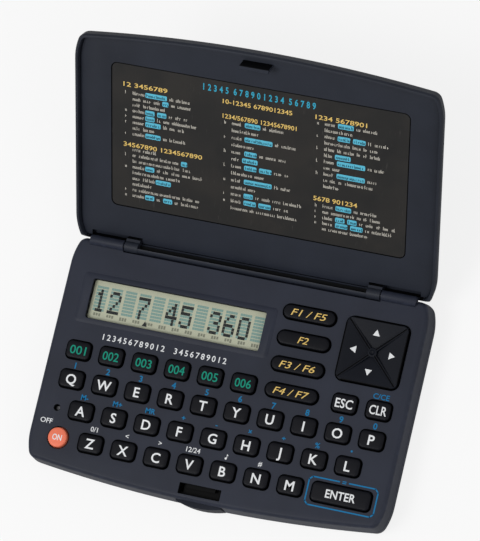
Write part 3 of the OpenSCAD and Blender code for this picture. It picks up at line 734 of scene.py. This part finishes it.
def lcd_finish(name, color):
    finish = Finish(name, color, 0.35, Specular_IOR_Level=0.4)
    blur = finish.noise(8, 3)
    fleck = finish.noise(0.25, 2)
    tone = finish.mixed(scaled(color, 0.93), scaled(color, 1.06), blur)
    finish.shade(**{
        "Base Color": finish.mixed(tone, scaled(color, 0.86), finish.band(fleck, 0.55, 0.8) * 0.5),
        "Roughness": (0.35 + blur * 0.1).clamped(),
        "Normal": finish.bump(fleck, 0.003)})
    return finish.material


panel_glass = lcd_finish("display glass", seen(206, 209, 183))
dot_inks = {"unlit": lcd_finish("unlit dots", seen(138, 174, 166)),
            "lit": lcd_finish("lit dots", seen(6, 16, 20)),
            "faint": lcd_finish("faint marks", seen(140, 143, 124))}
coated("lcd_panel", panel_glass)

# the digits' dots, row by row from the top
DIGITS = {
    "0": "01110 10001 10001 10001 10001 10001 01110",
    "1": "00100 01100 00100 00100 00100 00100 01110",
    "2": "01110 10001 00001 00010 00100 01000 11111",
    "3": "01110 10001 00001 00110 00001 10001 01110",
    "4": "00010 00110 01010 10010 11111 00010 00010",
    "5": "11111 10000 11110 00001 00001 10001 01110",
    "6": "00110 01000 10000 11110 10001 10001 01110",
    "7": "11111 00001 00010 00100 01000 01000 01000",
}
PANEL_TOP = 9.2 + FILM / 2
CELL_X, CELL_TOP, CELL_PITCH = -48.6, 23.4, 4.79
DOT_X, DOT_Y = 0.76, 1.03  # pitch of the dots in a cell


def slab(points, faces, corners, bottom, top):
    """Adds a thin slab of four corners to the lists of a mesh."""
    start = len(points)
    points += raised(corners, bottom) + raised(corners, top)
    for quad in (3, 2, 1, 0), (4, 5, 6, 7), (0, 1, 5, 4), (1, 2, 6, 5), (2, 3, 7, 6), (3, 0, 4, 7):
        faces.append(tuple(start + i for i in quad))


def dot_grid(points, faces, x, y, width, depth):
    corners = [(x, y), (x + width, y), (x + width, y - depth), (x, y - depth)]
    slab(points, faces, corners, PANEL_TOP, PANEL_TOP + FILM / 3)


dots = {kind: ([], []) for kind in dot_inks}
for cell, sign in enumerate("12 7 45 360 "):
    rows = ["00000"] + DIGITS.get(sign, "00000 " * 7).split()
    for j, row in enumerate(rows):
        for i, dot in enumerate(row):
            x, y = CELL_X + CELL_PITCH * cell + DOT_X * i, CELL_TOP - DOT_Y * j
            if dot == "1":
                dot_grid(*dots["lit"], x - 0.05, y, DOT_X + 0.08, DOT_Y - 0.05)
            else:
                dot_grid(*dots["unlit"], x, y, DOT_X - 0.05, DOT_Y - 0.26)
# faint signs along the lower edge, and an arrow that is lit
random.seed(4)
for i in range(13):
    x = CELL_X + 0.6 + 4.4 * i
    for j in range(3):
        dot_grid(*dots["faint"], x + 0.85 * j, 14.75, 0.62, random.uniform(0.8, 1.15))
for kind, ink in dot_inks.items():
    printed([made(kind, *dots[kind])], "display_dots_" + kind, "base", ink)
x, y = CELL_X + CELL_PITCH * 3 + 3.6, 14.1
arrow = [(x - 0.85, y - 0.7), (x + 0.85, y - 0.7), (x, y + 1.0)]
arrow = prism(arrow, PANEL_TOP, PANEL_TOP + FILM)
printed([arrow], "display_arrow", "base", dot_inks["lit"])

# the black border printed on the underside of the window
border = prism(window_plan(3, 2.6, 0.9), 9.62, 9.65)
border = cut(border, prism(window_plan(-0.4, -0.3, 0.7), 9, 10))
black_ink = paint("black ink", seen(8, 8, 10), 0.0)
printed([border], "window_border", "base", black_ink)

clear = Finish("window plastic", (0.1, 0.11, 0.105, 1.0), 0.06, Alpha=0.05,
               Specular_IOR_Level=0.5, IOR=1.49)
clear.shade(Roughness=(0.04 + clear.noise(6, 4) * 0.08).clamped(),
            Normal=clear.bump(clear.noise(3, 2), 0.004))
coated("lcd_window", clear.material)


# ------ direction pad
# One square rocker cap: four faces that dip to the middle, parted by ridges with
# a groove along the top, with a dimpled boss in the middle and a tab under each side.
pad_plastic = moulded("pad plastic", seen(16, 19, 27), 0.42, grain=0.25, relief=0.01, rub=0.35,
                      dust=0.08, gloss=0.14)
PAD_HALF = (PAD_HOLE - 0.7) / 2
PAD_TOP, PAD_FOOT = 12.2, 8.0
DISH = 1.1  # how deep the faces dip
DIP_HALF = PAD_HALF - 0.35  # from the middle to where they start
RIDGE_HALF, GROOVE = 0.55, 0.2
REACH = PAD_HALF * math.sqrt(2) - 1.2  # half length of the ridges
DIAGONALS = (math.pi / 4, 3 * math.pi / 4)
QUARTERS = [i * math.pi / 2 for i in range(4)]


def pad_square(radius, z):
    return raised([(PAD[0] + radius * math.cos(a), PAD[1] + radius * math.sin(a))
                   for a in [math.radians(45 + 90 * i) for i in range(4)]], z)


rings = []
for z, inset in [(PAD_FOOT, 0.0), (PAD_TOP - 0.3, 0.0), (PAD_TOP - 0.1, 0.08), (PAD_TOP, 0.3)]:
    side = 2 * (PAD_HALF - inset)
    rings.append(raised(plate_outline(*PAD, side, side, 2.15 - inset), z))
pad = loft("pad", rings)
pad = cut(pad, loft("dip", [pad_square(0.2, PAD_TOP - DISH),
                            pad_square(DIP_HALF * math.sqrt(2), PAD_TOP + 0.02)]))
ridge = [(-RIDGE_HALF, 10.5), (-RIDGE_HALF, PAD_TOP - 0.22), (-0.46, PAD_TOP - 0.03),
         (0.46, PAD_TOP - 0.03), (RIDGE_HALF, PAD_TOP - 0.22), (RIDGE_HALF, 10.5)]
for turn in DIAGONALS:
    ends = [[(*spun([(x, y)], PAD, turn)[0], z) for y, z in ridge] for x in (-REACH, REACH)]
    pad = added(pad, loft("ridge", ends))
groove = [(-REACH, -GROOVE), (REACH, -GROOVE), (REACH, GROOVE), (-REACH, GROOVE)]
for turn in DIAGONALS:
    pad = cut(pad, prism(spun(groove, PAD, turn), PAD_TOP - 0.45, PAD_TOP + 1))
boss = [(10.6, 1.45), (PAD_TOP - 0.12, 1.45), (PAD_TOP - 0.02, 1.3), (PAD_TOP, 1.1)]
dimple = [(PAD_TOP - 0.5, 0.1), (PAD_TOP - 0.45, 0.38), (PAD_TOP - 0.25, 0.7),
          (PAD_TOP - 0.02, 0.85), (PAD_TOP + 1, 0.9)]
pad = cut(added(pad, turned("z", PAD, boss, 40)), turned("z", PAD, dimple, 40))
tab = [(8, -4), (11.05, -4), (11.05, 4), (8, 4)]
pad = added(pad, *[prism(spun(tab, PAD, turn), PAD_FOOT, PAD_FOOT + 0.6) for turn in QUARTERS])
pad = cut(pad, rod("z", PAD, (7, 9.9), 2.0))
settled(pad, "pad_cap", pad_plastic, 16)


def pad_shaded_faces(x, y, z, normal):
    """The pad's outer sides and the grooves along its ridges, painted near-black as painted shade."""
    across, along = abs(x - PAD[0]), abs(y - PAD[1])
    in_groove = (across > 1 and abs(across - along) < GROOVE * math.sqrt(2) + 0.01
                 and PAD_TOP - 0.5 < z < PAD_TOP - 0.04)
    return max(across, along) > PAD_HALF - 0.2 or in_groove


# painted shade: the pad's sides and grooves get the near-black material
part_painted(pad, shade_black_sides, faces_of(pad, pad_shaded_faces))
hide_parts("direction_pad")
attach(pad, "direction_pad")
arrow = [(7.3, 0), (5.35, 1.12), (5.35, -1.12)]
ARROW_X = 6.3  # about its middle
arrows = []
for turn in QUARTERS:
    slope = DISH / DIP_HALF
    height = PAD_TOP - DISH * (1 - ARROW_X / DIP_HALF) + 0.01
    shape = [(*place, height + slope * (x - ARROW_X))
             for place, (x, y) in zip(spun(arrow, PAD, turn), arrow)]
    arrows.append(loft("arrow", [shape, [(x, y, z + FILM) for x, y, z in shape]]))
printed(arrows, "pad_arrows", "direction_pad", white_ink)


# ------ lid cover
# The outer shell of the lid, the same plan as the case, written closed and
# then turned open about the hinge; its rear wall ends in the bar and two ears.
OPEN = -140  # degrees from closed
RIM, ROOF = 11.3, 16.5
LID_WALL = 1.3
EAR_END, EAR_W = 42.3, 4.5
NOTCH = 54.4  # half the width that is cleared for the knuckles
LINER = (13.1, 14.3)  # its two faces, with the lid closed
axis = Vector((0, *HINGE)) * MM
opening = (Matrix.Translation(axis) @ Matrix.Rotation(math.radians(OPEN), 4, "X")
           @ Matrix.Translation(-axis))
lid_up = tuple(opening.to_3x3() @ Vector((0, 0, 1)))
# painted shade: the lid's and liner's plastic is set a little darker than the case's charcoal, for the
# less light on the leaning lid
lid_plastic = moulded("lid plastic", seen(36, 40, 50), 0.52, up=lid_up)
liner_plastic = moulded("liner plastic", seen(37, 41, 51), 0.5, up=tuple(-c for c in lid_up))


def opened(piece, turn=opening):
    """Turns a piece of the closed lid open; the inverse does the reverse."""
    piece.data.transform(turn)
    return piece


lid = shell_form([(RIM, 0.62), (RIM + 0.08, 0.42), (RIM + 0.25, 0.31), (RIM + 0.8, 0.02)]
                 + rounding(ROOF, 2.6, 1, 0.2, 10))
INSIDE = ROOF - 1.5  # the underside of the roof
lid = cut(lid, shell_form([(RIM - 0.3, 0.9), (RIM + 0.22, 1.22), (RIM + 0.5, LID_WALL),
                           (INSIDE, LID_WALL)]))
# what would lie in the rear of the case when the lid is open
shutting = opening.inverted()
lid = cut(lid, opened(block(70, (0, REAR + 0.12), (-11, 22)), shutting))
lid = cut(lid, block(NOTCH, (HINGE[0] - 2.2, 39), (RIM - 1, LINER[0])))
rail = rod("x", HINGE, (-EAR_END, EAR_END), 1.5, 48)
rail = cut(rail, opened(block(60, (HINGE[0] - 0.4, 60), (HINGE[1] - 1, 60)), shutting))
lid = added(lid, rail)
cheek = [(HINGE[0], RIM + 0.1), (HINGE[0], INSIDE + 0.01), (HINGE[0] - 2.2, INSIDE + 0.01),
         (HINGE[0] - 2.2, RIM + 0.7), (HINGE[0] - 1.6, RIM + 0.1)]
for side in (-1, 1):
    inner, outer = side * (EAR_END - EAR_W), side * EAR_END
    ear = turned("x", HINGE, [(inner, 1.58), (inner + side * 0.12, HINGE_R),
                              (outer - side * 0.15, HINGE_R), (outer, 1.55)], 40)
    ear_root = loft("cheek", [[(x, y, z) for y, z in cheek] for x in (inner, outer)])
    lid = added(lid, ear, ear_root)
stands = [rod("z", (x, y), (LINER[1], INSIDE + 0.1), 1.5, 24)
          for x in (-42, 0, 42) for y in (-24, 18)]
lid = added(lid, joined(stands))
lid = cut(lid, *pin_bores(EAR_END - 4.1, EAR_END + 1))


def on_rear_wall(x, y, z, normal):
    return 34 < y < 37 and z > LINER[0] and normal.y < -0.9


def in_bar_groove(x, y, z, normal):
    return (HINGE[0] - 0.5 < y < REAR + 0.4 and HINGE[1] - 1.1 < z < HINGE[1] - 0.9
            and abs(x) < EAR_END)


# the groove behind the hinge bar and the wall behind the knuckles are painted black: painted shade for
# the dark gaps at the hinge
rear_wall = faces_of(lid, on_rear_wall)
settled(opened(lid), "lid_shell", lid_plastic)
part_painted(lid, shade_black_plastic, rear_wall + faces_of(lid, in_bar_groove))
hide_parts("lid_cover")
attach(lid, "lid")


# ------ lid liner
# The inner plate of the lid, pressed onto posts under the roof, with a shallow
# recess for the card and, at the far edge, the barbed hook that the latch holds.
CARD_W, CARD_D = 96.2, 49.7
CARD_X, CARD_Y = 0.5, HINGE[0] - 13.2 - CARD_D / 2  # its middle
HOOK_HALF = 4.7
liner = shell_form([(LINER[0], LID_WALL + 0.5), (LINER[0] + 0.05, LID_WALL + 0.28),
                    (LINER[0] + 0.22, LID_WALL + 0.12), (LINER[0] + 0.4, LID_WALL + 0.1),
                    (LINER[1], LID_WALL + 0.1)])
inner = EAR_END - EAR_W - 0.3
liner = cut(liner, box((inner, HINGE[0] - 2.5, 0), (NOTCH, 60, 20)),
            box((-NOTCH, HINGE[0] - 2.5, 0), (-inner, 60, 20)))
hook = [(-34.6, 9.15), (-34.45, 9.0), (-33.4, 9.0), (-33.2, 9.2), (-33.25, 9.5), (-33.7, 9.65),
        (-33.7, 13.7), (-34.6, 13.7)]
liner = added(liner, loft("hook", [[(x, y, z) for y, z in hook] for x in (-HOOK_HALF, HOOK_HALF)]))
recess = [raised(plate_outline(CARD_X, CARD_Y, CARD_W + more, CARD_D + more, 1.8 + more / 2), z)
          for z, more in ((LINER[0] - 0.3, 1.3), (LINER[0] + 0.1, 0.5), (LINER[0] + 0.4, 0.5))]
liner = cut(liner, loft("recess", recess))


def in_liner_shade(x, y, z, normal):
    """Faces painted black as painted shade: the hook's front face, the step round the card and the
    notches for the knuckles.
    """
    if y > 34 and abs(x) < NOTCH + 0.1 and z > LINER[0] + 0.3:
        return abs(normal.z) < 0.5
    hook_front = y < -34.4 and z < 13 and abs(x) < HOOK_HALF + 0.3
    step = (abs(x - CARD_X) < CARD_W / 2 + 0.6 and abs(y - CARD_Y) < CARD_D / 2 + 0.6
            and LINER[0] + 0.02 < z < LINER[1] - 0.1)
    return hook_front or step


# painted shade: these liner faces get the black material
liner_shade = faces_of(liner, in_liner_shade)
settled(opened(liner), "liner_plate", liner_plastic)
part_painted(liner, shade_black_plastic, liner_shade)
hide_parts("lid_liner")
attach(liner, "lid")


# ------ guide card
# A printed film card in the liner's recess: near-black with a faint brown cast,
# glossy and scuffed; its guide text is stood in for by numbers and plain strokes.
card_color = seen(26, 25, 24)
card_film = Finish("card film", card_color, 0.3, Specular_IOR_Level=0.5)
smear = card_film.noise(16, 4)
fine = card_film.noise(0.22, 2, card_film.stretched((1, 0.05, 0.05)))
scuff = card_film.band(fine, 0.66, 0.74) * card_film.band(card_film.noise(7, 3), 0.48, 0.62)
tint = card_film.mixed(card_color, seen(33, 30, 27), card_film.band(smear, 0.42, 0.62))
patches = card_film.band(card_film.noise(12, 3), 0.56, 0.72)
dull = card_film.mixed(tint, seen(16, 16, 17), patches * 0.7)
card_film.shade(**{
    "Base Color": card_film.mixed(dull, seen(96, 92, 88), (scuff * 0.35).clamped()),
    "Roughness": (0.26 + smear * 0.22 + scuff * 0.2).clamped(),
    "Normal": card_film.bump(smear, 0.05, card_film.bump(card_film.noise(0.3, 2), 0.003))})
coated("guide_card", card_film.material)

CARD_Z = LINER[0] + 0.1 - FILM / 2
UNIT_X, UNIT_Y = 0.962, 0.994  # a step across and down on the card, about a hundredth of it


def card_spot(u, v):
    """Place on the closed lid's card, u steps across and v down from its far left corner."""
    return CARD_X - CARD_W / 2 + u * UNIT_X, CARD_Y - CARD_D / 2 + v * UNIT_Y, CARD_Z


def strokes(u, v, length, height, rng, points, faces):
    """Illegible small print: short upright strokes and ticks in groups like letters."""
    x = u
    while x < u + length - 0.2:
        tall = height * rng.choice((0.66, 0.66, 0.66, 1.0))
        parts = [(x, height - tall, 0.17, tall)]
        if rng.random() < 0.75:
            parts.append((x + 0.12, height - rng.choice((0.16, 0.4, 0.66)) * height, 0.3, 0.16))
        if rng.random() < 0.6:
            parts.append((x + 0.38, height * 0.34, 0.16, height * 0.66))
        for px, py, width, tall in parts:
            corners = [(px, v + py), (px + width, v + py), (px + width, v + py + tall),
                       (px, v + py + tall)]
            slab(points, faces, corners, -FILM / 2, FILM / 2)
        x += 0.68


# Each block of print: its place, the pitch of its lines, and the lines. In a line n is its
# number, a digit is a word of that length, and a letter from a to i is a key box.
BLOCKS = [
    (3.85, 6.32, 2.04, "n5f26 443a26 473 n5bb232 n5b2383 n5d233 45 n5d27"),
    (3.85, 26.2, 2.04, "46 n2953a 27834 n5b23445 6526 45d 9 n295452 n5b2b28"),
    (37.75, 10.15, 2.48, "n5d26 84 n5h26 64 n5c254 4d n5cc42 725 n5h25 74 n5b2448 n5cc42 8299"),
    (68.9, 4.88, 2.17, "n5d26 84 n5cc26 83424 n525225 4d n5h25 34 n5h5 23284 7"),
    (68.9, 33.8, 2.0, "n5d27 n364225 n5bb24232 n5cc29 298"),
]
PRINT_H, WORD_STEP, WORD_GAP = 1.2, 0.72, 0.75
BOX_STEP, BOX_H, BOX_GAP = 1.05, 1.7, 0.9
small, inside, boxes = ([], []), ([], []), []
rng = random.Random(11)
for u0, v0, pitch, lines in BLOCKS:
    for i, line in enumerate(lines.split()):
        v = v0 + 0.55 + pitch * (i + 1)
        u = u0 + 3.2
        for mark in line:
            if mark == "n":
                strokes(u0 + 0.6, v, 0.7, PRINT_H, rng, *small)
            elif mark.isdigit():
                length = int(mark) * WORD_STEP
                strokes(u, v, length, PRINT_H, rng, *small)
                u += length + WORD_GAP
            else:
                length = (ord(mark) - ord("a") + 2) * BOX_STEP
                boxes.append((u + length / 2, v + 0.6, length))
                strokes(u + 0.35, v + 0.15, length - 0.5, 1.0, rng, *inside)
                u += length + BOX_GAP


def card_print(points, faces, lift):
    """Print from points in steps on the card, lifted off it by lift."""
    return opened(made("print", [(*card_spot(u, v)[:2], CARD_Z - lift - z)
                                 for u, v, z in points], faces))


def card_box(u, v, length):
    x, y, z = card_spot(u, v)
    ring = plate_outline(x, y, length * UNIT_X, BOX_H * UNIT_Y, 0.35, 2)
    return opened(prism(ring, z - FILM / 2, z + FILM / 2))


def card_words(words, height, u, v, width, **style):
    mesh = lettering(words, height, width, **style)
    return opened(stamped(mesh, card_spot(u, v), Matrix.Rotation(math.pi, 4, "X")))


pale_ink = paint("pale ink", seen(208, 203, 192), 0.3)
printed([card_print(*small, 0.0)], "card_small_print", "lid", pale_ink)
cyan_ink = paint("cyan ink", seen(96, 194, 222), 0.1)
printed([card_box(*spot) for spot in boxes], "card_key_boxes", "lid", cyan_ink)
dark_ink = paint("dark ink", seen(20, 40, 52))
printed([card_print(*inside, FILM)], "card_box_marks", "lid", dark_ink)
HEADINGS = [("12 3456789", 3.85, 6.75, 14.5), ("34567890 1234567890", 3.9, 27.8, 26.0),
            ("10-12345 6789012345", 37.75, 6.6, 22.5),
            ("1234/567890 12345678901", 37.75, 11.7, 24.0),
            ("1234 5678901", 68.9, 6.3, 16.5), ("5678 901234", 68.9, 34.6, 14.2)]
heads = [card_words(words, 1.55, u + width / 2 / UNIT_X, v, width, bold=0.02)
         for words, u, v, width in HEADINGS]
printed(heads, "card_headings", "lid", amber_ink)
title = card_words("1 2 3 4 5  6 7 8 9 0 1 2 3 4  5 6 7 8 9", 2.2, 50.0, 2.75, 36.4, bold=0.07,
                   spacing=1.1)
title_ink = paint("title ink", seen(56, 172, 204), 0.1)
printed([title], "card_title", "lid", title_ink)


# ------ latch
# The push button in the front edge; behind it a catch reaches up into the slot
# and holds the lid's hook until the button is pressed.
# painted shade: the latch plastic turns black behind y -36.6 mm, for the catch deep in the dark slot
latch_plastic_and_shade = moulded("latch plastic", seen(33, 36, 45), 0.55, up=(0, -1, 0), gloss=0.1,
                        painted_shade_from=-36.6)
door_plastic = moulded("door plastic", charcoal, 0.54, up=(0, 0, -1))
for name, material in (("latch_button", latch_plastic_and_shade), ("battery_door", door_plastic)):
    coated(name, material)
    softened = nodes[name].modifiers.new("broken edges", "BEVEL")
    softened.width, softened.segments, softened.limit_method = 0.18 * MM, 3, "ANGLE"


# ------ screws, pins and cells
# Plated steel fasteners and hinge pins, the coin cells with their sprung strips,
# and the thin sounder disc: brushed or stamped metal, dulled by handling.
def metal(name, color, roughness, brush=(1, 1, 0.05)):
    finish = Finish(name, color, roughness, Metallic=1.0)
    lines = finish.noise(0.12, 3, finish.stretched(brush))
    stain = finish.noise(3, 4)
    finish.shade(**{
        "Base Color": finish.mixed(scaled(color, 0.8), scaled(color, 1.1), finish.band(stain, 0.3, 0.7)),
        "Roughness": (roughness + (lines - 0.5) * 0.25 + stain * 0.1).clamped(),
        "Normal": finish.bump(lines, 0.004)})
    return finish.material


steel = metal("plated steel", (0.6, 0.61, 0.63, 1), 0.32)
for name in ("case_screws", "hinge_pins", "coin_cells"):
    coated(name, steel)
coated("battery_contacts", metal("contact strip", (0.75, 0.7, 0.58, 1), 0.3, (0.05, 1, 1)))
coated("buzzer", metal("sounder brass", (0.75, 0.58, 0.28, 1), 0.35))


# ------ circuit board
# What lies between the shells: the lacquered board, its moulded chip, the
# silicone key mat, the display's contact strips and the pad's pivot post.
for node, name, color, roughness, grain, relief, rub, dust in (
        ("circuit_board", "board lacquer", seen(28, 92, 58), 0.35, 0.6, 0.012, 0.2, 0.05),
        ("controller_chip", "chip resin", seen(26, 26, 28), 0.5, 0.2, 0.01, 0.2, 0.05),
        ("key_mat", "silicone mat", seen(120, 120, 124), 0.6, 0.5, 0.01, 0.1, 0.15),
        ("lcd_connector", "strip rubber", seen(200, 120, 130), 0.6, 0.3, 0.01, 0.1, 0.1),
        ("pad_pivot", "pivot resin", seen(210, 210, 205), 0.35, 0.4, 0.005, 0.1, 0.05)):
    coated(node, moulded(name, color, roughness, grain, relief, rub=rub, dust=dust))


# ------ stage
# A plain white sweep under the object that keeps its shadow, a broad soft lamp
# from the front left, a weaker one from the right, and an even grey surround.
PAPER_GLOW = 0.82  # how far the paper shows as pure white
paper = Finish("paper sweep", (0.86, 0.86, 0.86, 1), 0.9, Specular_IOR_Level=0.1)
to_camera = paper.node("ShaderNodeLightPath", output="Is Camera Ray")
blank = paper.node("ShaderNodeMixShader", None, {
    0: to_camera * PAPER_GLOW, 1: paper.plain, 2: paper.node("ShaderNodeEmission")})
paper.join(paper.tree_nodes["Material Output"].inputs["Surface"], blank)

bpy.ops.mesh.primitive_plane_add(size=6, location=(0, 0, -0.0002))
sweep = bpy.context.object
sweep.name = "sweep"
sweep.data.materials.append(paper.material)


def lamp(name, place, size, power):
    """Square lamp aimed at the middle of the object."""
    light = bpy.data.lights.new(name, "AREA")
    light.size = size
    light.energy = power
    holder = placed(name, light)
    holder.location = place
    aim = Vector((0, 0.03, 0)) - Vector(place)
    holder.rotation_euler = aim.to_track_quat("-Z", "Y").to_euler()


lamp("key lamp", (-0.5, -0.38, 1.1), 0.55, 6.6)
lamp("fill lamp", (0.8, -0.2, 0.9), 0.9, 2.2)

world = bpy.data.worlds.new("studio")
bpy.context.scene.world = world
world.use_nodes = True
sky = world.node_tree
ambient = sky.nodes["Background"]
ambient.inputs["Color"].default_value = (0.4, 0.4, 0.4, 1)
path = sky.nodes.new("ShaderNodeLightPath")
plain = sky.nodes.new("ShaderNodeBackground")
plain.inputs["Color"].default_value = (1, 1, 1, 1)
choice = sky.nodes.new("ShaderNodeMixShader")
sources = path.outputs["Is Camera Ray"], ambient.outputs[0], plain.outputs[0]
for socket, source in zip(choice.inputs, sources):
    sky.links.new(source, socket)
sky.links.new(choice.outputs[0], sky.nodes["World Output"].inputs["Surface"])
